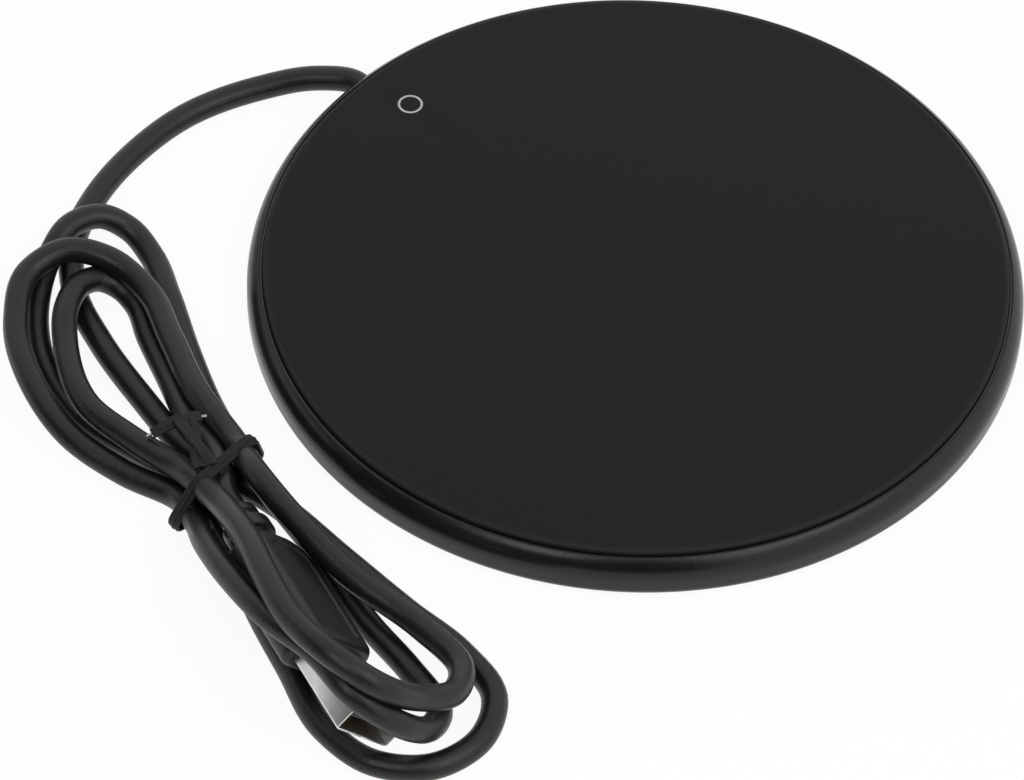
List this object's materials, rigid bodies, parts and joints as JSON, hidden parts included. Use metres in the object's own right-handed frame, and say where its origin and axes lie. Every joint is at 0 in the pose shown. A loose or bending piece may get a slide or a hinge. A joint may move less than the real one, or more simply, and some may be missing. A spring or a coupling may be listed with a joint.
{
  "type": "electric mug warmer",
  "caption": "Thin round mug warmer with a sprung heated plate that sinks under a mug and presses a switch, and a folded USB cord with a tie.",
  "frame": {"origin": "bottom centre of the round pad, on the surface it stands on", "axes": "+Z up; +Y from the pad's centre towards the cord's exit and the light ring; +X to the right seen from above with +Y up"},
  "size_m": [0.1587, 0.1378, 0.0248],
  "materials": {
    "housing_gloss": "glossy",
    "base_matte": "matt",
    "foot_rubber": "matt",
    "screw_steel": "satin",
    "board_green": "satin",
    "chip_black": "matt",
    "capacitor_tan": "matt",
    "lamp_white": "glossy",
    "plunger_red": "satin",
    "plate_matte": "matt",
    "ring_grey": "matt",
    "pipe_clear": "clear",
    "spreader_aluminium": "brushed",
    "film_amber": "glossy",
    "trace_copper": "satin",
    "pad_felt": "matt",
    "carrier_black": "matt",
    "thermistor_blue": "glossy",
    "fuse_metal": "satin",
    "spring_steel": "satin",
    "lead_red": "glossy",
    "lead_yellow": "glossy",
    "cord_black": "glossy",
    "grip_black": "satin",
    "shell_nickel": "polished",
    "tongue_black": "matt",
    "contact_gold": "polished",
    "tie_black": "matt",
    "tie_steel": "satin"
  },
  "bodies": {
    "housing": {"rim_housing": "housing_gloss", "base_cover": "base_matte", "foot_pads": "foot_rubber", "case_screws": "screw_steel", "circuit_board": "board_green", "board_screws": "screw_steel", "control_chip": "chip_black", "power_transistor": "chip_black", "chip_capacitors": "capacitor_tan", "chip_resistors": "chip_black", "indicator_lamp": "lamp_white", "switch_body": "chip_black", "spring_front": "spring_steel", "spring_right": "spring_steel", "spring_left": "spring_steel", "heater_leads": "lead_red", "sensor_leads": "lead_yellow", "power_leads": "lead_red", "cord_anchor": "cord_black", "cord": "cord_black", "plug_grip": "grip_black", "plug_neck": "grip_black", "plug_shell": "shell_nickel", "plug_tongue": "tongue_black", "plug_contacts": "contact_gold", "tie_band": "tie_black", "tie_wire": "tie_steel"},
    "plate": {"warming_plate": "plate_matte", "light_ring": "ring_grey", "light_pipe": "pipe_clear", "heat_spreader": "spreader_aluminium", "heater_film": "film_amber", "heater_trace": "trace_copper", "insulation_pad": "pad_felt", "plate_carrier": "carrier_black", "shoulder_screws": "screw_steel", "thermistor": "thermistor_blue", "thermal_fuse": "fuse_metal"},
    "plunger": {"switch_plunger": "plunger_red"}
  },
  "joints": [
    {"name": "plate_press", "type": "slide", "parent": "housing", "child": "plate", "axis": [0, 0, -1], "range_m": [0, 0.0005], "stiffness_N_per_m": 5000, "springref_m": -0.0002, "deforming": ["spring_front", "spring_right", "spring_left", "heater_leads", "sensor_leads"]},
    {"name": "plunger_press", "type": "slide", "parent": "housing", "child": "plunger", "axis": [0, 0, -1], "range_m": [0, 0.0005]}
  ],
  "couplings": [
    {"joint": "plunger_press", "follows": "plate_press", "ratio": 1}
  ]
}
